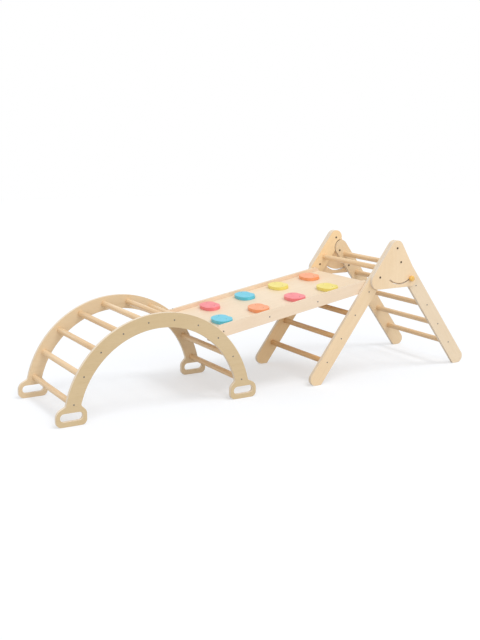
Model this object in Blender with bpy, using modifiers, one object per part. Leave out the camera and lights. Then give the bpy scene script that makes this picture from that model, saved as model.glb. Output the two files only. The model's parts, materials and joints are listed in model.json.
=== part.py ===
"""Climbing set for toddlers: an arch ladder, a folding triangle and a ramp that hooks onto both.

Metres, +Z up. X runs along the set with the arch at -X, Y runs across it, and the floor is Z = 0.
Side shapes are drawn in the X-Z plane and extruded across Y. The near side is -Y.
"""

import math

import bmesh
import bpy

# Boards, rungs and fits
ply = 0.018
set_width = 0.550
edge_round = 0.002
rung_radius = 0.015
rung_sides = 16
seat_gap = 0.0003
fold_gap = 0.006
weld_distance = 0.00003
cutter_reach = 0.060
facet_turn = math.radians(10)

# Arch
arch_rung_radius = 0.462
arch_centre_drop = 0.012
arch_band = 0.072
arch_rungs = 10
arch_rung_step = math.radians(16.87)
arch_facets = 60
foot_centre = 0.460
foot_width = 0.150
foot_lower_round = 0.027
foot_neck_height = 0.094
foot_neck_round = 0.010
inner_shoulder_height = 0.065
inner_shoulder_round = 0.030
outer_shoulder_height = 0.070
outer_shoulder_round = 0.042
grip_length = 0.112
grip_height = 0.040
grip_centre_height = 0.044

# Folding triangle
triangle_distance = 0.897
front_angle = math.radians(53.4)
rear_angle = math.radians(52.5)
ladder_pitch = 0.150
ladder_rungs = 5
leg_width = 0.085
heel_round = 0.006
toe_round = 0.036
tip_above_rung = 0.138
tip_sides = 18
pivot_above_front_rung = 0.093
pivot_above_rear_rung = 0.047
pivot_off_centre = 0.020
rear_tip_above_pivot = 0.008
relief_gap = 0.008
plate_corner_round = 0.048
plate_bottom_drop = 0.142
plate_right_reach = 0.071
corner_bolt_below_rung = 0.053
clamp_reach = 0.120

# Bolts and clamp knobs
shank_radius = 0.003
bolt_head_radius = 0.0055
bolt_head_height = 0.003
bolt_head_round = 0.001
nut_depth = 0.003
nut_engagement = 0.0015
hole_clearance = 0.0006
slot_clearance = 0.0012
knob_radius = 0.0165
knob_foot_radius = 0.0100
knob_foot_height = 0.004
knob_height = 0.024
knob_shoulder_height = 0.012
knob_round = 0.006
knob_bore_depth = 0.016
turned_sides = 16

# Ramp
ramp_arch_rung = 8
ramp_ladder_rung = 4
ramp_side_clearance = 0.003
ramp_end_past_rung = 0.043
rail_below_arch_rung = 0.012
rail_below_ladder_rung = 0.002
rail_above_board = 0.020
rail_top_round = 0.022
rail_bottom_round = 0.008
hook_gap = 0.001
board_thickness = 0.014
board_rest_gap = 0.0005
board_end_inset = 0.004

# Climbing holds on the ramp
hold_length = 0.145
hold_width = 0.0875
hold_fullness_share = 0.83
hold_waist_depth = 0.005
hold_waist_reach = 0.020
hold_sides = 48
hold_edge_round = 0.0035
far_hold_shares = (0.2018, 0.4359, 0.6696, 0.8954)
near_hold_shares = (0.1134, 0.3487, 0.5907, 0.8175)
hold_row_share = 0.577

wood_pale = (0.80, 0.62, 0.42, 1.0)
wood_rung = (0.72, 0.47, 0.26, 1.0)
steel_dark = (0.06, 0.055, 0.05, 1.0)
knob_amber = (0.80, 0.45, 0.09, 1.0)
hold_colours = {
    "pink": (0.92, 0.20, 0.22, 1.0),
    "blue": (0.11, 0.55, 0.70, 1.0),
    "yellow": (0.85, 0.72, 0.18, 1.0),
    "orange": (0.90, 0.30, 0.10, 1.0),
}
far_holds = ("pink", "blue", "yellow", "orange")
near_holds = ("blue", "orange", "pink", "yellow")

sides = (("near", -1), ("far", 1))
sign_names = {sign: side for side, sign in sides}
panel_middle = (set_width - ply) / 2
rung_length = set_width - 2 * ply - 2 * seat_gap
plate_middle = panel_middle + ply + seat_gap
cutter_length = set_width + 2 * cutter_reach


def clear_scene():
    for old in list(bpy.data.objects):
        bpy.data.objects.remove(old, do_unlink=True)


def new_collection(name):
    collection = bpy.data.collections.new(name)
    bpy.context.scene.collection.children.link(collection)
    return collection


def finish(name, colour, roughness, metallic=0.0):
    material = bpy.data.materials.new(name)
    material.use_nodes = True
    shader = material.node_tree.nodes["Principled BSDF"]
    shader.inputs["Base Color"].default_value = colour
    shader.inputs["Roughness"].default_value = roughness
    shader.inputs["Metallic"].default_value = metallic
    return material


def add(a, b):
    return (a[0] + b[0], a[1] + b[1])


def subtract(a, b):
    return (a[0] - b[0], a[1] - b[1])


def scaled(a, length):
    return (a[0] * length, a[1] * length)


def mirrored(points):
    return [(-x, z) for x, z in points]


def heading(angle):
    return (math.cos(angle), math.sin(angle))


def arc(centre, radius, start, end, steps):
    """Points along a circle from one angle to another, both ends included."""
    angles = [start + (end - start) * i / steps for i in range(steps + 1)]
    return [add(centre, scaled(heading(angle), radius)) for angle in angles]


def facets(turn):
    return max(2, math.ceil(abs(turn) / facet_turn))


def filleted(corners):
    """An outline from corners given as (point, radius); a radius of zero keeps the corner."""
    points = []
    for i, (corner, radius) in enumerate(corners):
        if not radius:
            points.append(corner)
            continue
        before = subtract(corners[i - 1][0], corner)
        after = subtract(corners[(i + 1) % len(corners)][0], corner)
        arm_in = math.atan2(before[1], before[0])
        arm_out = math.atan2(after[1], after[0])
        opening = (arm_out - arm_in + math.pi) % math.tau - math.pi
        reach = radius / math.sin(abs(opening) / 2)
        centre = add(corner, scaled(heading(arm_in + opening / 2), reach))
        away = arm_in + opening / 2 + math.pi
        half = math.copysign((math.pi - abs(opening)) / 2, opening)
        points += arc(centre, radius, away + half, away - half, facets(2 * half))
    return points


def kept(points):
    """The points as corners that filleted leaves sharp."""
    return [(point, 0) for point in points]


def belt(circles):
    """The outline of a belt round some circles, given anticlockwise as (centre, radius)."""

    def side_normal(a, b):
        run = subtract(b[0], a[0])
        return math.atan2(run[1], run[0]) - math.acos((a[1] - b[1]) / math.hypot(*run))

    points = []
    for i, (centre, radius) in enumerate(circles):
        start = side_normal(circles[i - 1], circles[i])
        end = side_normal(circles[i], circles[(i + 1) % len(circles)])
        turn = (end - start) % math.tau
        points += arc(centre, radius, start, start + turn, facets(turn))
    return points


def place(obj, parent, location, turn=(0, 0, 0)):
    obj.parent = parent
    obj.location = location
    obj.rotation_euler = turn
    return obj


def empty(name, parent, location, turn=(0, 0, 0)):
    holder = bpy.data.objects.new(name, None)
    parts.objects.link(holder)
    return place(holder, parent, location, turn)


def outlined_mesh(name, rings, thickness):
    """A flat board as a mesh: the first ring is its outline, and the others are openings."""
    curve = bpy.data.curves.new(name, "CURVE")
    curve.dimensions = "2D"
    curve.fill_mode = "BOTH"
    curve.extrude = thickness / 2
    for ring in rings:
        spline = curve.splines.new("POLY")
        spline.points.add(len(ring) - 1)
        spline.use_cyclic_u = True
        for point, (across, up) in zip(spline.points, ring):
            point.co = (across, up, 0, 1)
    shape = bpy.data.objects.new(name, curve)
    bpy.context.scene.collection.objects.link(shape)
    bpy.context.view_layer.update()
    graph = bpy.context.evaluated_depsgraph_get()
    mesh = bpy.data.meshes.new_from_object(shape.evaluated_get(graph))
    bpy.data.objects.remove(shape, do_unlink=True)
    welded = bmesh.new()
    welded.from_mesh(mesh)
    bmesh.ops.remove_doubles(welded, verts=welded.verts, dist=weld_distance)
    bmesh.ops.recalc_face_normals(welded, faces=welded.faces)
    welded.to_mesh(mesh)
    welded.free()
    mesh.name = name
    return mesh


def board(name, rings, thickness, material, edge=edge_round, segments=1):
    """A board with its edges rounded, drawn in its own X-Y plane."""
    mesh = outlined_mesh(name, rings, thickness)
    mesh.materials.append(material)
    obj = bpy.data.objects.new(name, mesh)
    parts.objects.link(obj)
    rounding = obj.modifiers.new("edges", "BEVEL")
    rounding.width = edge
    rounding.segments = segments
    return obj


def cut(obj, *tools):
    for tool in tools:
        opening = obj.modifiers.new(tool.name, "BOOLEAN")
        opening.operation = "DIFFERENCE"
        opening.object = tool


def hide_cutter(tool):
    for collection in list(tool.users_collection):
        collection.objects.unlink(tool)
    cutters.objects.link(tool)
    tool.hide_render = True
    tool.display_type = "WIRE"
    return tool


def rod(name, radius, length, sides_round, parent, location, material=None):
    """A straight round bar along Y."""
    mesh = bpy.data.meshes.new(name)
    body = bmesh.new()
    bmesh.ops.create_cone(
        body, cap_ends=True, segments=sides_round, radius1=radius, radius2=radius, depth=length
    )
    body.to_mesh(mesh)
    body.free()
    mesh.shade_smooth()
    mesh.set_sharp_from_angle(angle=math.radians(40))
    if material:
        mesh.materials.append(material)
    obj = bpy.data.objects.new(name, mesh)
    parts.objects.link(obj)
    return place(obj, parent, location, (math.pi / 2, 0, 0))


def make_rung(name, parent, across, up):
    rod(name, rung_radius, rung_length, rung_sides, parent, (across, 0, up), rung_wood)


def drill(name, radius, parent, across, up):
    """A cutter for a hole through everything from the near side to the far side."""
    tool = rod(name, radius, cutter_length, turned_sides, parent, (across, 0, up))
    return hide_cutter(tool)


def turned(name, profile, material, parent, location, outward):
    """A turned piece from (radius, height) pairs, top first, standing along outward times Y."""
    mesh = bpy.data.meshes.new(name)
    line = [(radius, 0, height) for radius, height in profile]
    mesh.from_pydata(line, [(i, i + 1) for i in range(len(line) - 1)], [])
    mesh.materials.append(material)
    obj = bpy.data.objects.new(name, mesh)
    parts.objects.link(obj)
    lathe = obj.modifiers.new("lathe", "SCREW")
    lathe.steps = turned_sides
    lathe.render_steps = turned_sides
    lathe.use_merge_vertices = True
    lathe.merge_threshold = weld_distance
    lathe.use_smooth_shade = True
    return place(obj, parent, location, (-outward * math.pi / 2, 0, 0))


def head_profile(radius, height, rounding, steps=3):
    """The outside of a low domed head, from its top down to its seat."""
    corner = arc((radius - rounding, height - rounding), rounding, math.pi / 2, 0, steps)
    return [(0, height)] + corner + [(radius, 0)]


def arch_rung_place(number):
    """Centre of an arch rung, counted from the left, from the arch's middle on the floor."""
    angle = math.pi / 2 - (number - (arch_rungs + 1) / 2) * arch_rung_step
    return add((0, -arch_centre_drop), scaled(heading(angle), arch_rung_radius))


def arch_edge_reach(off):
    """How far from the middle the arch's edge is where it meets a foot."""
    return math.sqrt((arch_rung_radius + off) ** 2 - (foot_neck_height + arch_centre_drop) ** 2)


def half_foot():
    """The right-hand foot's corners from its inner neck round to its outer neck."""
    inner = foot_centre - foot_width / 2
    outer = foot_centre + foot_width / 2
    return [
        ((arch_edge_reach(-arch_band / 2), foot_neck_height), foot_neck_round),
        ((inner, inner_shoulder_height), inner_shoulder_round),
        ((inner, 0), foot_lower_round),
        ((outer, 0), foot_lower_round),
        ((outer, outer_shoulder_height), outer_shoulder_round),
        ((arch_edge_reach(arch_band / 2), foot_neck_height), foot_neck_round),
    ]


def arch_outline():
    right = half_foot()
    left = [((-x, z), radius) for (x, z), radius in reversed(right)]
    neck_clear = foot_neck_height + arch_centre_drop + foot_neck_round
    centre = (0, -arch_centre_drop)
    outside = arch_rung_radius + arch_band / 2
    inside = arch_rung_radius - arch_band / 2
    outer_start = math.asin(neck_clear / outside)
    inner_start = math.asin(neck_clear / inside)
    over = arc(centre, outside, outer_start, math.pi - outer_start, arch_facets)
    under = arc(centre, inside, math.pi - inner_start, inner_start, arch_facets)
    return filleted(right + kept(over) + left + kept(under))


def grip_ring(side):
    half = (grip_length - grip_height) / 2
    middle = side * foot_centre
    ends = ((middle - half, grip_centre_height), (middle + half, grip_centre_height))
    return belt([(end, grip_height / 2) for end in ends])


def make_arch(holder):
    rings = [arch_outline(), grip_ring(-1), grip_ring(1)]
    for side, sign in sides:
        panel = board(f"arch_panel_{side}", rings, ply, pale)
        place(panel, holder, (0, sign * panel_middle, 0), (math.pi / 2, 0, 0))
    for number in range(1, arch_rungs + 1):
        across, up = arch_rung_place(number)
        make_rung(f"arch_rung_{number:02d}", holder, across, up)


# Places in the triangle, from where the front ladder's middle line meets the floor
front_way = heading(front_angle)
front_normal = (-front_way[1], front_way[0])
rear_way = (heading(rear_angle)[0], -heading(rear_angle)[1])
rear_normal = (-rear_way[1], rear_way[0])


def front_place(along, off=0):
    """A point by its distance up the front ladder, and to the left of its middle line."""
    return add(scaled(front_way, along), scaled(front_normal, off))


front_top = ladder_pitch * ladder_rungs
front_tip = front_place(front_top + tip_above_rung)
corner_bolt = front_place(front_top - corner_bolt_below_rung)
folded_spacing = leg_width + fold_gap
pivot = front_place(front_top + pivot_above_front_rung, pivot_off_centre - folded_spacing)


def rear_place(along, off=0):
    """A point from the pivot, by its distance down the rear ladder and up from its middle line."""
    return add(scaled(rear_way, along), scaled(rear_normal, off + pivot_off_centre))


fold_angle = math.pi - front_angle - rear_angle
clamp = scaled(rear_way, clamp_reach)
rear_tip = rear_place(-rear_tip_above_pivot)


def leg_outline(angle, length):
    """A leg leaning to +X, cut flat by the floor, from where its middle line meets the floor."""
    foot = leg_width / 2 / math.sin(angle)
    tip = scaled(heading(angle), length)
    inner = angle - math.pi / 2
    corners = [((-foot, 0), toe_round), ((foot, 0), heel_round)]
    rounded = arc(tip, leg_width / 2, inner, inner + math.pi, tip_sides)
    return filleted(corners + kept(rounded))


def rear_foot():
    """Where the rear ladder's middle line meets the floor, from the pivot."""
    start = rear_place(0)
    drop = pivot[1] + start[1]
    return (start[0] + drop / math.tan(rear_angle), -pivot[1])


def rear_leg_ring():
    foot = rear_foot()
    length = math.dist(foot, rear_tip)
    return [add(point, foot) for point in mirrored(leg_outline(rear_angle, length))]


def plate_ring():
    """The head plate from the pivot: its left edge lies flush with the front leg's."""
    tip = (subtract(front_tip, pivot), leg_width / 2)
    corner_up = plate_corner_round - plate_bottom_drop
    off = leg_width / 2 - plate_corner_round
    start = subtract(front_place(0, off), pivot)
    along = (corner_up - start[1]) / front_way[1]
    left = (add(start, scaled(front_way, along)), plate_corner_round)
    right = ((plate_right_reach, corner_up), plate_corner_round)
    return belt([tip, left, right])


def slot_ring():
    """The curved slot round the pivot that the clamp bolt runs in."""
    half = shank_radius + slot_clearance
    open_end = -rear_angle + slot_clearance / clamp_reach
    folded_end = -rear_angle - fold_angle - slot_clearance / clamp_reach
    outer = arc((0, 0), clamp_reach + half, folded_end, open_end, 12)
    open_cap = arc(scaled(heading(open_end), clamp_reach), half, open_end, open_end + math.pi, 6)
    inner = arc((0, 0), clamp_reach - half, open_end, folded_end, 12)
    folded_cap = arc(scaled(heading(folded_end), clamp_reach), half, folded_end - math.pi, folded_end, 6)
    return outer + open_cap[1:-1] + inner + folded_cap[1:-1]


def make_fixing(name, sign, across, up, holder, inner_face, outer_face):
    """A bolt from outside through the plate and a leg, and the cap nut on its inner end."""
    side = sign_names[sign]
    shank_end = inner_face - nut_engagement
    head = head_profile(bolt_head_radius, bolt_head_height, bolt_head_round)
    reach = outer_face + seat_gap - shank_end
    profile = head + [(shank_radius, 0), (shank_radius, -reach), (0, -reach)]
    seat = sign * (outer_face + seat_gap)
    turned(f"{name}_bolt_{side}", profile, dark, holder, (across, seat, up), sign)
    bore = shank_radius + seat_gap
    cap = head_profile(bolt_head_radius, nut_depth, bolt_head_round)
    depth = nut_engagement + seat_gap
    nut = cap + [(bore, 0), (bore, depth), (0, depth)]
    seat = sign * (inner_face - seat_gap)
    turned(f"{name}_nut_{side}", nut, dark, holder, (across, seat, up), -sign)


def make_front_ladder(holder, tip_drill, corner_drill, relief):
    ring = leg_outline(front_angle, front_top + tip_above_rung)
    for side, sign in sides:
        leg = board(f"front_leg_{side}", [ring], ply, pale)
        place(leg, holder, (0, sign * panel_middle, 0), (math.pi / 2, 0, 0))
        cut(leg, relief, tip_drill, corner_drill)
    for number in range(1, ladder_rungs + 1):
        across, up = front_place(ladder_pitch * number)
        make_rung(f"front_rung_{number}", holder, across, up)


def make_head_plates(holder, drills):
    for side, sign in sides:
        plate = board(f"head_plate_{side}", [plate_ring()], ply, pale)
        place(plate, holder, (pivot[0], sign * plate_middle, pivot[1]), (math.pi / 2, 0, 0))
        cut(plate, *drills)


def make_rear_ladder(hinge, drills):
    ring = rear_leg_ring()
    for side, sign in sides:
        leg = board(f"rear_leg_{side}", [ring], ply, pale)
        place(leg, hinge, (0, sign * panel_middle, 0), (math.pi / 2, 0, 0))
        cut(leg, *drills)
    for number in range(1, ladder_rungs + 1):
        along = pivot_above_rear_rung + ladder_pitch * (ladder_rungs - number)
        across, up = rear_place(along)
        make_rung(f"rear_rung_{number}", hinge, across, up)


def make_clamps(hinge):
    """Each clamp bolt passes from inside through the rear leg and the slot into its knob."""
    inner_face = set_width / 2 - ply
    outer_face = plate_middle + ply / 2
    for side, sign in sides:
        head = head_profile(bolt_head_radius, bolt_head_height, bolt_head_round)
        reach = outer_face - inner_face + 2 * seat_gap + knob_bore_depth
        profile = head + [(shank_radius, 0), (shank_radius, -reach), (0, -reach)]
        seat = sign * (inner_face - seat_gap)
        turned(f"clamp_bolt_{side}", profile, dark, hinge, (clamp[0], seat, clamp[1]), -sign)
        cap = head_profile(knob_radius, knob_height, knob_round, 5)[:-1]
        shoulder = (knob_radius - knob_round, knob_shoulder_height)
        skirt = arc(shoulder, knob_round, 0, -math.pi / 3, 3)
        bore = shank_radius + seat_gap
        depth = knob_bore_depth + seat_gap
        foot = [(knob_foot_radius, knob_foot_height), (knob_foot_radius, 0)]
        hollow = [(bore, 0), (bore, depth), (0, depth)]
        profile = cap + skirt + foot + hollow
        seat = sign * (outer_face + seat_gap)
        turned(f"clamp_knob_{side}", profile, amber, hinge, (clamp[0], seat, clamp[1]), sign)


def make_triangle(holder):
    hinge = empty("rear_ladder_pivot", holder, (pivot[0], 0, pivot[1]))
    bolt_hole = shank_radius + hole_clearance
    tip_drill = drill("tip_drill", bolt_hole, holder, *front_tip)
    corner_drill = drill("corner_drill", bolt_hole, holder, *corner_bolt)
    pivot_drill = drill("pivot_drill", bolt_hole, hinge, 0, 0)
    clamp_drill = drill("clamp_drill", bolt_hole, hinge, *clamp)
    relief = drill("relief", leg_width / 2 + relief_gap, hinge, *rear_tip)
    slot_shape = outlined_mesh("slot_cutter", [slot_ring()], cutter_length)
    slot = bpy.data.objects.new("slot_cutter", slot_shape)
    parts.objects.link(slot)
    place(hide_cutter(slot), hinge, (0, 0, 0), (math.pi / 2, 0, 0))
    make_front_ladder(holder, tip_drill, corner_drill, relief)
    make_head_plates(holder, (tip_drill, corner_drill, pivot_drill, slot))
    make_rear_ladder(hinge, (pivot_drill, clamp_drill))
    make_clamps(hinge)
    inner_face = set_width / 2 - ply
    outer_face = plate_middle + ply / 2
    for sign in sign_names:
        make_fixing("apex", sign, *front_tip, holder, inner_face, outer_face)
        make_fixing("corner", sign, *corner_bolt, holder, inner_face, outer_face)
        make_fixing("pivot", sign, *pivot, holder, inner_face, outer_face)


def rail_ring(run, drop):
    """A rail from the lower rung's centre, with a notch open downward over each rung."""
    low = -rail_below_arch_rung
    high = rung_radius + board_rest_gap + board_thickness + rail_above_board
    mouth = rung_radius + hook_gap
    corners = [((-ramp_end_past_rung, low), rail_bottom_round)]
    for rung in ((0, 0), (run, -drop)):
        notch = arc(add(rung, (0, seat_gap - hook_gap)), mouth, math.pi, 0, 12)
        corners += kept([(rung[0] - mouth, low)] + notch + [(rung[0] + mouth, low)])
    corners += [
        ((run + ramp_end_past_rung, low), rail_bottom_round),
        ((run + ramp_end_past_rung, high), rail_top_round),
        ((-ramp_end_past_rung, high), rail_top_round),
    ]
    return filleted(corners)


def make_ramp(arch_x, triangle_x):
    lower = add((arch_x, 0), arch_rung_place(ramp_arch_rung))
    upper = add((triangle_x, 0), front_place(ladder_pitch * ramp_ladder_rung))
    span = math.dist(lower, upper)
    drop = rail_below_arch_rung - rail_below_ladder_rung
    run = math.sqrt(span**2 - drop**2)
    slope = math.atan2(upper[1] - lower[1], upper[0] - lower[0]) + math.asin(drop / span)
    holder = empty("ramp", None, (lower[0], 0, lower[1]), (0, -slope, 0))
    rail_middle = set_width / 2 - ply - ramp_side_clearance - ply / 2
    ring = rail_ring(run, drop)
    for side, sign in sides:
        rail = board(f"ramp_rail_{side}", [ring], ply, pale)
        place(rail, holder, (0, sign * rail_middle, 0), (math.pi / 2, 0, 0))
    under = rung_radius + board_rest_gap
    half_length = run / 2 + ramp_end_past_rung - board_end_inset
    half_width = rail_middle - ply / 2 - seat_gap
    right = [(half_length, -half_width), (half_length, half_width)]
    deck = board("ramp_board", [right + mirrored(right[::-1])], board_thickness, pale)
    place(deck, holder, (run / 2, 0, under + board_thickness / 2))
    surface = under + board_thickness + seat_gap
    make_holds(holder, run, surface + ply / 2, half_width * hold_row_share)


def hold_ring():
    """A pebble lying across the ramp: an oval, full at its ends, with a slight waist uphill."""

    def swelled(value, half):
        return half * math.copysign(abs(value) ** hold_fullness_share, value)

    points = []
    for i in range(hold_sides):
        angle = math.tau * i / hold_sides
        along = swelled(math.cos(angle), hold_width / 2)
        across = swelled(math.sin(angle), hold_length / 2)
        if along > 0:
            along -= hold_waist_depth * math.exp(-((across / hold_waist_reach) ** 2))
        points.append((along, across))
    return points


def make_holds(holder, run, height, offset):
    """Two staggered rows of holds, each counted up the ramp."""
    far_row = ("far", far_holds, far_hold_shares, offset)
    near_row = ("near", near_holds, near_hold_shares, -offset)
    for side, colours, shares, across in (far_row, near_row):
        for colour, share in zip(colours, shares):
            name = f"hold_{colour}_{side}"
            hold = board(name, [hold_ring()], ply, hold_finish[colour], hold_edge_round)
            place(hold, holder, (run * share, across, height))


clear_scene()
parts = new_collection("toddler_climbing_set")
cutters = new_collection("cutters")
pale = finish("pale_plywood", wood_pale, 0.5)
rung_wood = finish("rung_wood", wood_rung, 0.45)
dark = finish("dark_steel", steel_dark, 0.35, 1.0)
amber = finish("knob_wood", knob_amber, 0.35)
hold_finish = {name: finish(f"hold_{name}", colour, 0.4) for name, colour in hold_colours.items()}

# The set's middle is X = 0: the arch's left foot and the rear leg's toe are its ends
arch_left = foot_centre + foot_width / 2
toe_right = triangle_distance + pivot[0] + max(x for x, z in rear_leg_ring())
arch_x = (arch_left - toe_right) / 2
triangle_x = arch_x + triangle_distance
make_arch(empty("arch", None, (arch_x, 0, 0)))
make_triangle(empty("triangle", None, (triangle_x, 0, 0)))
make_ramp(arch_x, triangle_x)
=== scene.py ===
import json
import math

import bmesh
import bpy
from mathutils import Matrix, Vector

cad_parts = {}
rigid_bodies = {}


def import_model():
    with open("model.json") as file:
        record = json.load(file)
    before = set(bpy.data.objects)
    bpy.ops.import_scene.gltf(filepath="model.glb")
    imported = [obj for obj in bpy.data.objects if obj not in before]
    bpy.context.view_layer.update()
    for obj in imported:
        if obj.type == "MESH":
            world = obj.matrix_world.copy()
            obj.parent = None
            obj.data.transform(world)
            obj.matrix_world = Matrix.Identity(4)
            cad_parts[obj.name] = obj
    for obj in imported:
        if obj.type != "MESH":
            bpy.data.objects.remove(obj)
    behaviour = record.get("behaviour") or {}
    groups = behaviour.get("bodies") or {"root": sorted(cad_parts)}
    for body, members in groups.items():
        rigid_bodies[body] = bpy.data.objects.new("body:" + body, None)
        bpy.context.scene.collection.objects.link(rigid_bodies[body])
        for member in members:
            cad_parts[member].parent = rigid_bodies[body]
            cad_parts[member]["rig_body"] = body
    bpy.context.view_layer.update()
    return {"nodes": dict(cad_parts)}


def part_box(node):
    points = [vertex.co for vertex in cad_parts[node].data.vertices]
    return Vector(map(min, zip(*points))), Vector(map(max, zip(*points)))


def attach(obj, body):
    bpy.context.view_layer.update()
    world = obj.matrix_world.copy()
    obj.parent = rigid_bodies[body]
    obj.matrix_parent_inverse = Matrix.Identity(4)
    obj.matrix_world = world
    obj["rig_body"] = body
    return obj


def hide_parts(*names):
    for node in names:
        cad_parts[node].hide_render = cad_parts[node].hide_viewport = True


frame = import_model()
cadNodes = frame["nodes"]
print("climbing set: frame loaded,", len(cadNodes), "CAD pieces")

sides = {"near": -1, "far": 1}  # which way each side's outer faces look along Y
sharpFrom = 30.0  # degrees between two faces from where their edge is rounded
grainTurns = {"arch": 0.0, "front": 53.4, "rear": -52.5, "ramp": 9.7, "plate": 90.0}  # degrees from +X


# selecting, and small steps that every piece needs

def takeUp(piece):
    bpy.ops.object.select_all(action="DESELECT")
    piece.select_set(True)
    bpy.context.view_layer.objects.active = piece


def selectFaces(piece, wanted):
    bpy.ops.mesh.select_mode(type="FACE")
    shape = bmesh.from_edit_mesh(piece.data)
    for face in shape.faces:
        face.select_set(bool(wanted(face)))
    shape.select_flush_mode()
    bmesh.update_edit_mesh(piece.data)


def pieceName(node):
    words = node.split("_")
    return words[0] + "".join(word.capitalize() for word in words[1:])


def copyPiece(piece, name, place):
    twin = bpy.data.objects.new(name, piece.data.copy())
    bpy.context.scene.collection.objects.link(twin)
    twin.matrix_world = place
    takeUp(twin)
    bpy.ops.object.transform_apply(location=True, rotation=True, scale=True)
    return twin


def finishPiece(piece, material, slot, body, *nodes):
    piece.data.materials.clear()
    piece.data.materials.append(material)
    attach(piece, body)
    if nodes:
        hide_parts(*nodes)


def bodyOf(node):
    return cadNodes[node]["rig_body"]


def centreOf(node):
    low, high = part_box(node)
    return (low + high) / 2


def faceOf(node, outward):
    low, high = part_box(node)
    return low.y if outward < 0 else high.y


def roundEdges(piece, width, segments, smoothAngle):
    takeUp(piece)
    rounding = piece.modifiers.new("softEdges", "BEVEL")
    rounding.width = width
    rounding.segments = segments
    rounding.limit_method = "ANGLE"
    rounding.angle_limit = math.radians(sharpFrom)
    rounding.harden_normals = True
    bpy.ops.object.modifier_apply(modifier=rounding.name)
    bpy.ops.object.shade_smooth_by_angle(angle=math.radians(smoothAngle))
    levelling = piece.modifiers.new("flatFaces", "WEIGHTED_NORMAL")
    levelling.keep_sharp = True
    bpy.ops.object.modifier_apply(modifier=levelling.name)


# material nodes
white = (1, 1, 1, 1)
unit = (0.0, 1.0)
wave = (-1.0, 1.0)
noiseMiddle = (0.3, 0.7)  # most of a noise's values lie in here
noiseWhole = (0.2, 0.8)
bumpStrength = 0.6


def tint(red, green, blue):
    def linear(value):
        share = value / 255
        return share / 12.92 if share <= 0.04045 else ((share + 0.055) / 1.055) ** 2.4
    return (linear(red), linear(green), linear(blue), 1.0)


def blendTint(first, second, share):
    return tuple(a + (b - a) * share for a, b in zip(first, second))


def darker(colour, share):
    return tuple(value * share for value in colour[:3]) + (1,)


def darkerEach(colour, shares):
    return tuple(value * share for value, share in zip(colour, shares))


def newTree(name):
    material = bpy.data.materials.new(name)
    material.use_nodes = True
    material.node_tree.nodes.clear()
    return material, material.node_tree


def addNode(tree, kind, sockets=None, **settings):
    node = tree.nodes.new(kind)
    for key, value in settings.items():
        setattr(node, key, value)
    for key, value in (sockets or {}).items():
        if isinstance(value, bpy.types.NodeSocket):
            tree.links.new(value, node.inputs[key])
        else:
            node.inputs[key].default_value = value
    return node


def maths(tree, operation, first, second=None):
    sockets = {0: first}
    if second is not None:
        sockets[1] = second
    return addNode(tree, "ShaderNodeMath", sockets, operation=operation).outputs[0]


def mixColours(tree, factor, first, second):
    return addNode(tree, "ShaderNodeMix", {0: factor, 6: first, 7: second}, data_type="RGBA").outputs[2]


def ranged(tree, value, fromLow, fromHigh, toLow, toHigh, smooth=False):
    kind = "SMOOTHSTEP" if smooth else "LINEAR"
    sockets = {0: value, 1: fromLow, 2: fromHigh, 3: toLow, 4: toHigh}
    return addNode(tree, "ShaderNodeMapRange", sockets, interpolation_type=kind).outputs[0]


def noiseAt(tree, vector, scales, detail, shift=(0, 0, 0), distortion=0.0):
    stretched = addNode(tree, "ShaderNodeMapping", {"Vector": vector, "Scale": scales, "Location": shift})
    sockets = {"Vector": stretched.outputs[0], "Scale": 1.0, "Detail": detail, "Distortion": distortion}
    return addNode(tree, "ShaderNodeTexNoise", sockets).outputs["Fac"]


def finishTree(tree, colour, roughness, bumpHeight, bumpDepth, **fixed):
    bump = addNode(tree, "ShaderNodeBump",
                   {"Height": bumpHeight, "Strength": bumpStrength, "Distance": bumpDepth})
    shader = addNode(tree, "ShaderNodeBsdfPrincipled",
                     {"Base Color": colour, "Roughness": roughness, "Normal": bump.outputs[0]})
    for key, value in fixed.items():
        shader.inputs[key.replace("_", " ")].default_value = value
    output = addNode(tree, "ShaderNodeOutputMaterial")
    tree.links.new(shader.outputs[0], output.inputs[0])


# birch plywood: a calm rotary-cut figure along the grain, short flecks, and the layers on the cut edges
plywood = {
    "streakScales": (3.0, 70.0, 70.0),
    "figureScales": (1.6, 6.0, 17.0),
    "fleckScales": (38.0, 700.0, 700.0),
    "patchScales": (3.1, 3.1, 3.1),
    "gritScales": (900.0, 900.0, 900.0),
    "figureBend": 1.2,
    "ringCount": 46.0,
    "ringMix": (0.34, 0.42),
    "streakMix": (-0.06, 0.06),
    "patchMix": (-0.12, 0.12),
    "fleckBand": (0.60, 0.74),
    "fleckMix": (0.0, 0.30),
    "gritBand": (0.35, 0.75),
    "gritMix": (0.0, 0.22),
    "paleLift": 0.10,
    "faceDark": (0.84, 0.78, 0.70, 1),
    "edgeDark": (0.86, 0.80, 0.72, 1),
    "fleckDark": 0.70,
    "gritDark": 0.62,
    "layerPitch": 0.0030,
    "layerWander": (-0.0003, 0.0003),
    "layerBand": (-0.35, 0.35),
    "faceBand": (0.55, 0.85),
    "roughness": (0.40, 0.52),
    "edgeRoughness": (0.12, 0.0),
    "streakRelief": 0.5,
    "ridgeRelief": 0.25,
    "fleckRelief": 0.4,
    "bumpDepth": 0.0004,
}


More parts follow.
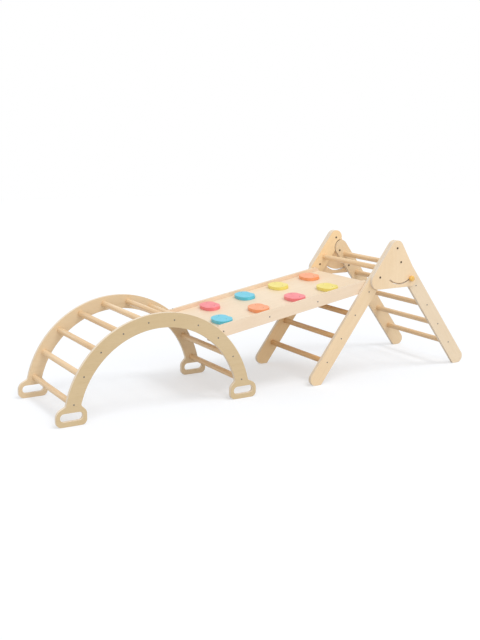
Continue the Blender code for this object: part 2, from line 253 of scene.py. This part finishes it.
def plywoodMaterial(name, turn, face, edge, shift, layersAlong="Y"):
    material, tree = newTree(name)
    coords = addNode(tree, "ShaderNodeTexCoord")
    angle = (0, math.radians(turn), 0)
    along = addNode(tree, "ShaderNodeMapping",
                    {"Vector": coords.outputs["Object"], "Rotation": angle, "Location": shift}).outputs[0]
    facing = addNode(tree, "ShaderNodeMapping", {"Vector": coords.outputs["Normal"], "Rotation": angle},
                     vector_type="VECTOR").outputs[0]
    figure = noiseAt(tree, along, plywood["figureScales"], 2.0, distortion=plywood["figureBend"])
    streaks = noiseAt(tree, along, plywood["streakScales"], 4.0)
    flecks = noiseAt(tree, along, plywood["fleckScales"], 1.0)
    patches = noiseAt(tree, along, plywood["patchScales"], 2.0)
    rings = maths(tree, "SINE", maths(tree, "MULTIPLY", figure, plywood["ringCount"]))
    figured = maths(tree, "ADD", ranged(tree, rings, *wave, *plywood["ringMix"]),
                    ranged(tree, streaks, *noiseMiddle, *plywood["streakMix"]))
    mottled = maths(tree, "ADD", figured, ranged(tree, patches, *noiseMiddle, *plywood["patchMix"]))
    colour = mixColours(tree, mottled, blendTint(face, white, plywood["paleLift"]),
                        darkerEach(face, plywood["faceDark"]))
    fleckShare = ranged(tree, flecks, *plywood["fleckBand"], *plywood["fleckMix"], smooth=True)
    colour = mixColours(tree, fleckShare, colour, darker(face, plywood["fleckDark"]))

    # the cut edge shows its layers, long grain and end grain in turn
    split = addNode(tree, "ShaderNodeSeparateXYZ", {0: along})
    wander = ranged(tree, patches, *unit, *plywood["layerWander"])
    height = maths(tree, "ADD", split.outputs[layersAlong], wander)
    layers = maths(tree, "SINE", maths(tree, "MULTIPLY", height, 2 * math.pi / plywood["layerPitch"]))
    layerShare = ranged(tree, layers, *plywood["layerBand"], *unit, smooth=True)
    edgeColour = mixColours(tree, layerShare, edge, darkerEach(edge, plywood["edgeDark"]))
    grit = noiseAt(tree, along, plywood["gritScales"], 1.0)
    gritShare = ranged(tree, grit, *plywood["gritBand"], *plywood["gritMix"])
    edgeColour = mixColours(tree, gritShare, edgeColour, darker(edge, plywood["gritDark"]))
    turnedNormal = addNode(tree, "ShaderNodeSeparateXYZ", {0: facing})
    facingShare = maths(tree, "ABSOLUTE", turnedNormal.outputs[layersAlong])
    onFace = ranged(tree, facingShare, *plywood["faceBand"], *unit, smooth=True)
    colour = mixColours(tree, onFace, edgeColour, colour)

    roughness = maths(tree, "ADD", ranged(tree, streaks, *noiseWhole, *plywood["roughness"]),
                      ranged(tree, onFace, *unit, *plywood["edgeRoughness"]))
    ridges = maths(tree, "MULTIPLY", maths(tree, "SUBTRACT", 1.0, onFace), layerShare)
    relief = maths(tree, "ADD", maths(tree, "MULTIPLY", streaks, plywood["streakRelief"]),
                   maths(tree, "MULTIPLY", ridges, plywood["ridgeRelief"]))
    relief = maths(tree, "SUBTRACT", relief, maths(tree, "MULTIPLY", fleckShare, plywood["fleckRelief"]))
    finishTree(tree, colour, roughness, relief, plywood["bumpDepth"], IOR=1.45, Coat_Weight=0.12,
               Coat_Roughness=0.30, Specular_IOR_Level=0.35)
    return material


# turned hardwood, its grain along the bar, each bar a little lighter or darker than the next
dowelWood = {
    "paleTones": (tint(240, 212, 173), tint(218, 180, 133)),
    # painted shade: darker, warmer tones for the rungs that stand under the ramp
    "deepTones": (tint(234, 196, 146), tint(204, 154, 98)),
    "vein": tint(196, 150, 102),
    "streakScales": (170.0, 5.0, 170.0),
    "fleckScales": (900.0, 45.0, 900.0),
    "toneScales": (5.3, 0.9, 5.3),
    "toneShift": (3.7, 0.2, 1.9),
    "streakBend": 0.4,
    "streakMix": (0.08, 0.72),
    "toneMix": (-0.25, 0.30),
    "veinBand": (0.60, 0.76),
    "veinMix": (0.0, 0.45),
    "roughness": (0.36, 0.48),
    "streakRelief": 0.6,
    "veinRelief": 0.5,
    "bumpDepth": 0.0004,
}


def dowelMaterial(name, tones):
    material, tree = newTree(name)
    place = addNode(tree, "ShaderNodeTexCoord").outputs["Object"]
    streaks = noiseAt(tree, place, dowelWood["streakScales"], 4.0, distortion=dowelWood["streakBend"])
    flecks = noiseAt(tree, place, dowelWood["fleckScales"], 2.0)
    tone = noiseAt(tree, place, dowelWood["toneScales"], 1.0, shift=dowelWood["toneShift"])
    share = maths(tree, "ADD", ranged(tree, streaks, *noiseMiddle, *dowelWood["streakMix"]),
                  ranged(tree, tone, *noiseMiddle, *dowelWood["toneMix"]))
    colour = mixColours(tree, share, *tones)
    veins = ranged(tree, flecks, *dowelWood["veinBand"], *dowelWood["veinMix"], smooth=True)
    colour = mixColours(tree, veins, colour, dowelWood["vein"])
    roughness = ranged(tree, streaks, *noiseWhole, *dowelWood["roughness"])
    relief = maths(tree, "SUBTRACT", maths(tree, "MULTIPLY", streaks, dowelWood["streakRelief"]),
                   maths(tree, "MULTIPLY", veins, dowelWood["veinRelief"]))
    finishTree(tree, colour, roughness, relief, dowelWood["bumpDepth"], IOR=1.45, Coat_Weight=0.15,
               Coat_Roughness=0.28, Specular_IOR_Level=0.35)
    return material


# amber varnished knobs: year rings round the turning axis under a glossy coat
knobWood = {
    "light": tint(238, 190, 88),
    "dark": tint(214, 152, 52),
    "ringScale": 340.0,
    "ringBend": 9.0,
    "bendScales": (60.0, 12.0, 60.0),
    "fineScales": (700.0, 60.0, 700.0),
    "fineMix": (0.35, 0.75),
    "roughness": (0.20, 0.32),
    "relief": 0.4,
    "bumpDepth": 0.0002,
}


def knobMaterial(name, centre):
    material, tree = newTree(name)
    place = addNode(tree, "ShaderNodeTexCoord").outputs["Object"]
    middle = tuple(-value for value in centre)
    centred = addNode(tree, "ShaderNodeMapping", {"Vector": place, "Location": middle}).outputs[0]
    bent = noiseAt(tree, centred, knobWood["bendScales"], 2.0)
    split = addNode(tree, "ShaderNodeSeparateXYZ", {0: centred})
    across = maths(tree, "ADD", maths(tree, "MULTIPLY", split.outputs[0], knobWood["ringScale"]),
                   maths(tree, "MULTIPLY", bent, knobWood["ringBend"]))
    rings = ranged(tree, maths(tree, "SINE", across), *wave, *unit)
    fine = noiseAt(tree, centred, knobWood["fineScales"], 2.0)
    share = maths(tree, "MULTIPLY", rings, ranged(tree, fine, *noiseMiddle, *knobWood["fineMix"]))
    colour = mixColours(tree, share, knobWood["light"], knobWood["dark"])
    roughness = ranged(tree, fine, *noiseWhole, *knobWood["roughness"])
    relief = maths(tree, "MULTIPLY", share, knobWood["relief"])
    finishTree(tree, colour, roughness, relief, knobWood["bumpDepth"], IOR=1.48, Coat_Weight=0.6,
               Coat_Roughness=0.12)
    return material


# satin paint on the holds, a little uneven and faintly brushed
holdPaint = {
    "colours": {"pink": tint(247, 112, 122), "blue": tint(56, 198, 226), "yellow": tint(241, 222, 90),
                "orange": tint(250, 150, 82)},
    "brushScales": (26.0, 240.0, 240.0),
    "cloudScales": (22.0, 22.0, 22.0),
    "paleLift": 0.12,
    "deepShare": 0.84,
    "cloudMix": (0.25, 0.65),
    "brushMix": (-0.18, 0.18),
    "roughness": (0.34, 0.46),
    "bumpDepth": 0.0004,
}


def holdMaterial(name, colour):
    material, tree = newTree(name)
    place = addNode(tree, "ShaderNodeTexCoord").outputs["Object"]
    angle = (0, math.radians(grainTurns["ramp"]), 0)
    along = addNode(tree, "ShaderNodeMapping", {"Vector": place, "Rotation": angle}).outputs[0]
    brushed = noiseAt(tree, along, holdPaint["brushScales"], 3.0)
    clouds = noiseAt(tree, along, holdPaint["cloudScales"], 2.0)
    share = maths(tree, "ADD", ranged(tree, clouds, *noiseMiddle, *holdPaint["cloudMix"]),
                  ranged(tree, brushed, *noiseMiddle, *holdPaint["brushMix"]))
    painted = mixColours(tree, share, blendTint(colour, white, holdPaint["paleLift"]),
                         darker(colour, holdPaint["deepShare"]))
    roughness = ranged(tree, brushed, *noiseWhole, *holdPaint["roughness"])
    finishTree(tree, painted, roughness, brushed, holdPaint["bumpDepth"], IOR=1.5, Coat_Weight=0.2,
               Coat_Roughness=0.35)
    return material


# dark plated steel, finely turned
steel = {
    "bolt": tint(86, 71, 56),
    "screw": tint(112, 110, 110),
    "worn": (0.30, 0.29, 0.28, 1),
    "wornShare": 0.25,
    "wornBand": (0.35, 0.70),
    "wornMix": (0.0, 0.8),
    "fineScales": (1500.0, 1500.0, 1500.0),
    "wornScales": (260.0, 260.0, 260.0),
    "roughness": (0.30, 0.46),
    "bumpDepth": 0.0001,
}


def steelMaterial(name, colour):
    material, tree = newTree(name)
    place = addNode(tree, "ShaderNodeTexCoord").outputs["Object"]
    fine = noiseAt(tree, place, steel["fineScales"], 2.0)
    worn = noiseAt(tree, place, steel["wornScales"], 3.0)
    share = ranged(tree, worn, *steel["wornBand"], *steel["wornMix"])
    shade = mixColours(tree, share, colour, blendTint(colour, steel["worn"], steel["wornShare"]))
    roughness = ranged(tree, fine, *noiseWhole, *steel["roughness"])
    finishTree(tree, shade, roughness, fine, steel["bumpDepth"], Metallic=1.0)
    return material


print("climbing set: finishes ready")


# boards: the CAD shape, merged, with the broken edges rounded over
# each side's grain starts somewhere else, by boardShift
boardShape = {"merge": 0.00002, "flatAngle": 0.4, "round": 0.0007, "segments": 2, "smoothAngle": 32.0}
# the pale edge colours are partly the ply's own pale cut edges and partly a painted highlight along the edges
boards = {
    "arch_panel": {"turn": "arch", "near": (214, 190, 146), "far": (230, 205, 166), "edge": (242, 228, 208)},
    "front_leg": {"turn": "front", "near": (241, 214, 174), "far": (250, 217, 166), "edge": (242, 228, 208)},
    "rear_leg": {"turn": "rear", "near": (238, 218, 188), "far": (238, 212, 172), "edge": (242, 228, 208)},
    "head_plate": {"turn": "plate", "near": (245, 219, 181), "far": (237, 203, 157), "edge": (240, 228, 212)},
    "ramp_rail": {"turn": "ramp", "near": (244, 223, 197), "far": (238, 212, 184), "edge": (240, 222, 198)},
}
# the ramp board's dark edge colour is painted shade: its cut edges stand in for the shadow line in the seam
# where the board meets the rails
rampBoard = {"face": (241, 221, 193), "edge": (182, 144, 104)}
boardShift = (0.37, 0.11, 0.53)


def finishBoard(node, material, slot="pale_plywood"):
    piece = bpy.data.objects.new(pieceName(node), cadNodes[node].data.copy())
    bpy.context.scene.collection.objects.link(piece)
    takeUp(piece)
    bpy.ops.object.mode_set(mode="EDIT")
    bpy.ops.mesh.select_all(action="SELECT")
    bpy.ops.mesh.remove_doubles(threshold=boardShape["merge"])
    bpy.ops.mesh.dissolve_limited(angle_limit=math.radians(boardShape["flatAngle"]))
    bpy.ops.object.mode_set(mode="OBJECT")
    finishPiece(piece, material, slot, bodyOf(node), node)
    return piece


for kind, look in boards.items():
    for count, side in enumerate(sides):
        turn = grainTurns[look["turn"]]
        shift = tuple(value * (1 + count) for value in boardShift)
        material = plywoodMaterial(pieceName(f"{kind}_ply_{side}"), turn, tint(*look[side]),
                                   tint(*look["edge"]), shift)
        piece = finishBoard(f"{kind}_{side}", material)
        roundEdges(piece, boardShape["round"], boardShape["segments"], boardShape["smoothAngle"])

seamShadedBoardMaterial = plywoodMaterial("rampBoardPly", grainTurns["ramp"], tint(*rampBoard["face"]),
                                tint(*rampBoard["edge"]), boardShift, "Z")
rampBoardPiece = finishBoard("ramp_board", seamShadedBoardMaterial)
roundEdges(rampBoardPiece, boardShape["round"], boardShape["segments"], boardShape["smoothAngle"])
print("climbing set: boards done")


# holds: the same way, with a rounder edge
holdShape = {"round": 0.0016, "segments": 4, "smoothAngle": 40.0}
for colour, paint in holdPaint["colours"].items():
    material = holdMaterial(colour + "Paint", paint)
    for side in sides:
        piece = finishBoard(f"hold_{colour}_{side}", material, "hold_" + colour)
        roundEdges(piece, holdShape["round"], holdShape["segments"], holdShape["smoothAngle"])
print("climbing set: holds done")


# rungs: one dowel with its ends rounded over, copied into every seat
rung = {
    "radius": 0.015,
    "halfLength": 0.2568,
    "sides": 56,
    "endRound": 0.0016,
    "endSegments": 3,
    "smoothAngle": 35.0,
    "deepBars": ("front_rung_1", "front_rung_2", "front_rung_3", "front_rung_4"),  # in the ramp's shade; their darker tones are painted shade
}


def makeRung():
    bpy.ops.object.select_all(action="DESELECT")
    bpy.ops.mesh.primitive_cylinder_add(vertices=rung["sides"], radius=rung["radius"],
                                        depth=2 * rung["halfLength"], rotation=(math.pi / 2, 0, 0))
    dowel = bpy.context.object
    dowel.name = "dowelPattern"
    bpy.ops.object.transform_apply(location=True, rotation=True, scale=True)
    bpy.ops.object.mode_set(mode="EDIT")
    selectFaces(dowel, lambda face: abs(face.normal.y) > 0.9)
    bpy.ops.mesh.region_to_loop()
    bpy.ops.mesh.bevel(offset=rung["endRound"], segments=rung["endSegments"], profile=0.5)
    bpy.ops.object.mode_set(mode="OBJECT")
    bpy.ops.object.shade_smooth_by_angle(angle=math.radians(rung["smoothAngle"]))
    return dowel


paleDowel = dowelMaterial("paleDowel", dowelWood["paleTones"])
# the front ladder's rungs get a darker copy of the dowel finish: painted shade from the ramp above
deepDowel = dowelMaterial("deepDowel", dowelWood["deepTones"])
dowel = makeRung()
for node in sorted(cadNodes):
    if "_rung_" in node:
        piece = copyPiece(dowel, pieceName(node), Matrix.Translation(centreOf(node)))
        material = deepDowel if node in rung["deepBars"] else paleDowel
        finishPiece(piece, material, "rung_wood", bodyOf(node), node)
bpy.data.objects.remove(dowel)
print("climbing set: rungs done")


# turned fittings: a disc drawn out ring by ring; each ring is (radius, height above the seat)
socketSides = 6
fittingSmooth = 38.0


def drawOut(rings):
    for (radius, height), (nextRadius, nextHeight) in zip(rings, rings[1:]):
        bpy.ops.mesh.extrude_region_move(TRANSFORM_OT_translate={"value": (0, 0, nextHeight - height)})
        share = nextRadius / radius
        bpy.ops.transform.resize(value=(share, share, 1), center_override=(0, 0, nextHeight))


def squareSocket(piece, edges, radius, height):
    # the socket's round rim becomes six-sided: its points move in to the flats, class by class
    for step in range(1, edges // socketSides):
        turn = 360 / edges * step
        bpy.ops.mesh.select_all(action="DESELECT")
        bpy.ops.mesh.select_mode(type="VERT")
        shape = bmesh.from_edit_mesh(piece.data)
        for point in shape.verts:
            angle = math.degrees(math.atan2(point.co.y, point.co.x)) % 60
            onRim = abs(point.co.z - height) < 1e-6 and abs(point.co.xy.length - radius) < 1e-6
            point.select_set(onRim and abs(angle - turn) < 1)
        bmesh.update_edit_mesh(piece.data)
        share = math.cos(math.radians(30)) / math.cos(math.radians(turn - 30))
        bpy.ops.transform.resize(value=(share, share, 1), center_override=(0, 0, height))


def turnPiece(name, rings, edges, socketDepth=0.0, bore=None):
    (radius, height), (nextRadius, nextHeight) = rings[:2]
    bpy.ops.object.select_all(action="DESELECT")
    bpy.ops.mesh.primitive_cylinder_add(vertices=edges, radius=radius, depth=nextHeight - height,
                                        location=(0, 0, (height + nextHeight) / 2))
    piece = bpy.context.object
    piece.name = name
    bpy.ops.object.transform_apply(location=True, rotation=True, scale=True)
    bpy.ops.object.mode_set(mode="EDIT")
    selectFaces(piece, lambda face: face.normal.z > 0.9)
    share = nextRadius / radius
    bpy.ops.transform.resize(value=(share, share, 1), center_override=(0, 0, nextHeight))
    drawOut(rings[1:])
    topRadius, top = rings[-1]
    if socketDepth:
        squareSocket(piece, edges, topRadius, top)
        selectFaces(piece, lambda face: face.normal.z > 0.9 and len(face.verts) == edges)
        drawOut([(1, top), (1, top - socketDepth), (0.6, top - socketDepth * 1.15)])
    if bore:
        selectFaces(piece, lambda face: face.normal.z < -0.9 and len(face.verts) == edges)
        drawOut([(radius, height)] + bore)
    bpy.ops.object.mode_set(mode="OBJECT")
    bpy.ops.object.shade_smooth_by_angle(angle=math.radians(fittingSmooth))
    return piece


def standOut(centre, outward):
    # a pattern stands up along Z; here its top looks outward along Y instead
    return Matrix.Translation(centre) @ Matrix.Rotation(math.radians(-90 * outward), 4, "X")


def seatOf(node, height, outward):
    # where a fitting's seat is, when its outermost face is the end of the CAD piece
    centre = centreOf(node)
    return Vector((centre.x, faceOf(node, outward) - outward * height, centre.z))


# bolts with a low round head and a six-sided socket, and the cap nuts that close their inner ends
bolt = {
    "edges": 36,
    "headHeight": 0.0030,
    "shank": (0.0030, 0.0027),
    "shankChamfer": 0.0004,
    "head": [(0.0030, 0.0), (0.0051, 0.0), (0.0055, 0.0004), (0.0055, 0.0013), (0.0052, 0.0021),
             (0.0044, 0.0027), (0.0034, 0.0030), (0.0026, 0.0030), (0.0024, 0.0028)],
    "nut": [(0.0051, 0.0), (0.0055, 0.0004), (0.0055, 0.0013), (0.0052, 0.0021), (0.0044, 0.0027),
            (0.0034, 0.0030), (0.0026, 0.0030), (0.0024, 0.0028)],
    "nutBore": [(0.0031, 0.0), (0.0031, 0.0016)],
    "socketDepth": 0.0018,
    "nutSocketDepth": 0.0009,
}
boltMaterial = steelMaterial("darkBolt", steel["bolt"])


def makeBolt(name, length):
    radius, endRadius = bolt["shank"]
    end = bolt["headHeight"] - length
    rings = [(endRadius, end), (radius, end + bolt["shankChamfer"])] + bolt["head"]
    return turnPiece(name, rings, bolt["edges"], bolt["socketDepth"])


def lengthOf(node):
    low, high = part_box(node)
    return high.y - low.y


plateBolt = makeBolt("plateBoltPattern", lengthOf("apex_bolt_near"))
clampBolt = makeBolt("clampBoltPattern", lengthOf("clamp_bolt_near"))
capNut = turnPiece("capNutPattern", bolt["nut"], bolt["edges"], bolt["nutSocketDepth"], bolt["nutBore"])
for side, outward in sides.items():
    for place in ("apex", "corner", "pivot"):
        for kind, pattern, way in (("bolt", plateBolt, outward), ("nut", capNut, -outward)):
            node = f"{place}_{kind}_{side}"
            piece = copyPiece(pattern, pieceName(node), standOut(seatOf(node, bolt["headHeight"], way), way))
            finishPiece(piece, boltMaterial, "dark_steel", bodyOf(node), node)
    node = "clamp_bolt_" + side
    seat = seatOf(node, bolt["headHeight"], -outward)
    piece = copyPiece(clampBolt, pieceName(node), standOut(seat, -outward))
    finishPiece(piece, boltMaterial, "dark_steel", bodyOf(node), node)
for pattern in (plateBolt, clampBolt, capNut):
    bpy.data.objects.remove(pattern)
print("climbing set: bolts done")

# clamp knobs: a waisted foot, a full round rim and a gently crowned top
knob = {
    "edges": 48,
    "height": 0.0240,
    "rings": [(0.0098, 0.0), (0.0102, 0.0005), (0.0101, 0.0016), (0.0098, 0.0032), (0.0099, 0.0046),
              (0.0108, 0.0062), (0.0124, 0.0075), (0.0143, 0.0087), (0.0156, 0.0102), (0.0163, 0.0120),
              (0.0165, 0.0139), (0.0164, 0.0160), (0.0160, 0.0179), (0.0152, 0.0197), (0.0140, 0.0212),
              (0.0124, 0.0224), (0.0103, 0.0232), (0.0078, 0.0237), (0.0050, 0.0239), (0.0020, 0.0240)],
    "bore": [(0.0031, 0.0), (0.0031, 0.0165)],
}
knobPattern = turnPiece("knobPattern", knob["rings"], knob["edges"], 0.0, knob["bore"])
for side, outward in sides.items():
    node = "clamp_knob_" + side
    piece = copyPiece(knobPattern, pieceName(node), standOut(seatOf(node, knob["height"], outward), outward))
    material = knobMaterial("amberKnob" + side.capitalize(), centreOf(node))
    finishPiece(piece, material, "knob_wood", bodyOf(node), node)
bpy.data.objects.remove(knobPattern)
print("climbing set: knobs done")

# screws: thin round heads with a small six-sided socket, standing just proud of the wood
screw = {
    "edges": 24,
    "boardHead": [(0.0034, -0.0003), (0.0037, 0.0), (0.0038, 0.0004), (0.0036, 0.0008), (0.0030, 0.0011),
                  (0.0021, 0.0012), (0.0019, 0.0011)],
    "holdHead": [(0.0020, -0.0003), (0.0023, 0.0), (0.0024, 0.0003), (0.0022, 0.0006), (0.0018, 0.0008),
                 (0.0013, 0.0008)],
    "boardSocket": 0.0008,
    "holdSocket": 0.0005,
    "legRungs": 4,  # the fifth rung's screws are under the head plate
    "railAlong": (0.046, 0.323, 0.629, 0.940),
    "railUp": 0.0175,
    "railTopAlong": (0.0235, 0.9670),
    "railTopUp": 0.0495,
    "holdPlaces": ((0.008, -0.038), (0.011, 0.045)),
    "holdUp": 0.0475,
}
screwMaterial = steelMaterial("screwHead", steel["screw"])
boardScrew = turnPiece("boardScrewPattern", screw["boardHead"], screw["edges"], screw["boardSocket"])
holdScrew = turnPiece("holdScrewPattern", screw["holdHead"], screw["edges"], screw["holdSocket"])
rampStart = centreOf("arch_rung_08")  # the ramp's own frame starts at the rung it hooks over
rampTurn = Matrix.Rotation(-math.radians(grainTurns["ramp"]), 4, "Y")


def rampPlace(along, across, up):
    return Matrix.Translation(rampStart) @ rampTurn @ Matrix.Translation((along, across, up))


def addScrew(pattern, name, place, body):
    finishPiece(copyPiece(pattern, name, place), screwMaterial, "dark_steel", body)


archRungs = sum(node.startswith("arch_rung_") for node in cadNodes)
for side, outward in sides.items():
    panels = {"arch": ("arch_panel_" + side, "_rung_{:02d}", archRungs),
              "front": ("front_leg_" + side, "_rung_{}", screw["legRungs"]),
              "rear": ("rear_leg_" + side, "_rung_{}", screw["legRungs"])}
    for part, (panel, ending, count) in panels.items():
        for number in range(1, count + 1):
            seat = centreOf(part + ending.format(number))
            seat.y = faceOf(panel, outward)
            name = f"{part}Screw{side.capitalize()}{number}"
            addScrew(boardScrew, name, standOut(seat, outward), bodyOf(panel))
    rail = "ramp_rail_" + side
    for number, along in enumerate(screw["railAlong"], 1):
        seat = rampPlace(along, 0, screw["railUp"]).translation
        seat.y = faceOf(rail, outward)
        addScrew(boardScrew, f"railScrew{side.capitalize()}{number}", standOut(seat, outward), bodyOf(rail))
    for number, along in enumerate(screw["railTopAlong"], 1):
        place = rampPlace(along, centreOf(rail).y, screw["railTopUp"])
        addScrew(boardScrew, f"railTopScrew{side.capitalize()}{number}", place, bodyOf(rail))

for node in sorted(cadNodes):
    if node.startswith("hold_"):
        spot = (Matrix.Translation(rampStart) @ rampTurn).inverted() @ centreOf(node)
        for number, (along, across) in enumerate(screw["holdPlaces"], 1):
            place = rampPlace(spot.x + along, spot.y + across, screw["holdUp"])
            addScrew(holdScrew, f"{pieceName(node)}Screw{number}", place, bodyOf(node))
for pattern in (boardScrew, holdScrew):
    bpy.data.objects.remove(pattern)
print("climbing set: screws done")


# camera, standing where the photograph was taken from
cameraSetup = {"place": (-2.6005, -4.0415, 1.3482), "yaw": 0.5501, "pitch": 0.2096, "roll": 0.0124,
               "lens": 50.955, "sensor": 36.0}
bpy.ops.object.camera_add(location=(0, 0, 0))
camera = bpy.context.object
camera.name = "photoCamera"
camera.matrix_world = (Matrix.Translation(cameraSetup["place"]) @ Matrix.Rotation(-cameraSetup["yaw"], 4, "Z")
                       @ Matrix.Rotation(math.pi / 2 - cameraSetup["pitch"], 4, "X")
                       @ Matrix.Rotation(cameraSetup["roll"], 4, "Z"))
camera.data.lens = cameraSetup["lens"]
camera.data.sensor_width = cameraSetup["sensor"]
camera.data.dof.use_dof = False
bpy.context.scene.camera = camera

# floor and soft studio light
studio = {
    "floorHalf": 12.0,
    "floorDrop": 0.0006,
    "floorGlow": 0.43,
    "floorDirect": (0.521, 0.540, 0.570, 1.0),
    "floorBounce": (0.58, 0.57, 0.56, 1.0),
    "skyStrength": 0.71,
    "lamps": {
        "softKey": {"strength": 1.00, "angle": 22.0, "from": (0.29, -0.35, 1.00)},
        "frontFill": {"strength": 1.05, "angle": 70.0, "from": (-0.45, -0.85, 0.35)},
    },
}


def backdropShare(tree):
    path = addNode(tree, "ShaderNodeLightPath")
    looking = maths(tree, "MAXIMUM", path.outputs["Is Camera Ray"], path.outputs["Is Glossy Ray"])
    return maths(tree, "MAXIMUM", looking, path.outputs["Is Transmission Ray"])


bpy.ops.object.select_all(action="DESELECT")
bpy.ops.mesh.primitive_plane_add(size=2 * studio["floorHalf"], location=(0, 0, -studio["floorDrop"]))
floor = bpy.context.object
floor.name = "studioFloor"
bpy.ops.object.transform_apply(location=True, rotation=True, scale=True)
floorMaterial, tree = newTree("paleFloor")
glow = addNode(tree, "ShaderNodeEmission", {"Color": (1, 1, 1, 1), "Strength": studio["floorGlow"]})
direct = addNode(tree, "ShaderNodeBsdfDiffuse", {"Color": studio["floorDirect"]})
seen = addNode(tree, "ShaderNodeAddShader", {0: glow.outputs[0], 1: direct.outputs[0]})
bounce = addNode(tree, "ShaderNodeBsdfDiffuse", {"Color": studio["floorBounce"]})
mixed = addNode(tree, "ShaderNodeMixShader",
                {0: backdropShare(tree), 1: bounce.outputs[0], 2: seen.outputs[0]})
addNode(tree, "ShaderNodeOutputMaterial", {0: mixed.outputs[0]})
floor.data.materials.append(floorMaterial)

world = bpy.data.worlds.new("studioSky")
bpy.context.scene.world = world
world.use_nodes = True
tree = world.node_tree
tree.nodes.clear()
sky = addNode(tree, "ShaderNodeBackground", {"Color": (1, 1, 1, 1), "Strength": studio["skyStrength"]})
plainWhite = addNode(tree, "ShaderNodeBackground", {"Color": (1, 1, 1, 1), "Strength": 1.0})
mixed = addNode(tree, "ShaderNodeMixShader",
                {0: backdropShare(tree), 1: sky.outputs[0], 2: plainWhite.outputs[0]})
addNode(tree, "ShaderNodeOutputWorld", {0: mixed.outputs[0]})

for name, lamp in studio["lamps"].items():
    bpy.ops.object.light_add(type="SUN", location=lamp["from"])
    light = bpy.context.object
    light.name = name
    light.rotation_mode = "QUATERNION"
    light.rotation_quaternion = Vector(lamp["from"]).to_track_quat("Z", "Y")
    light.data.energy = lamp["strength"]
    light.data.angle = math.radians(lamp["angle"])

bpy.context.scene.view_settings.view_transform = "Standard"
print("climbing set: camera, floor and lights set")

bpy.context.view_layer.update()
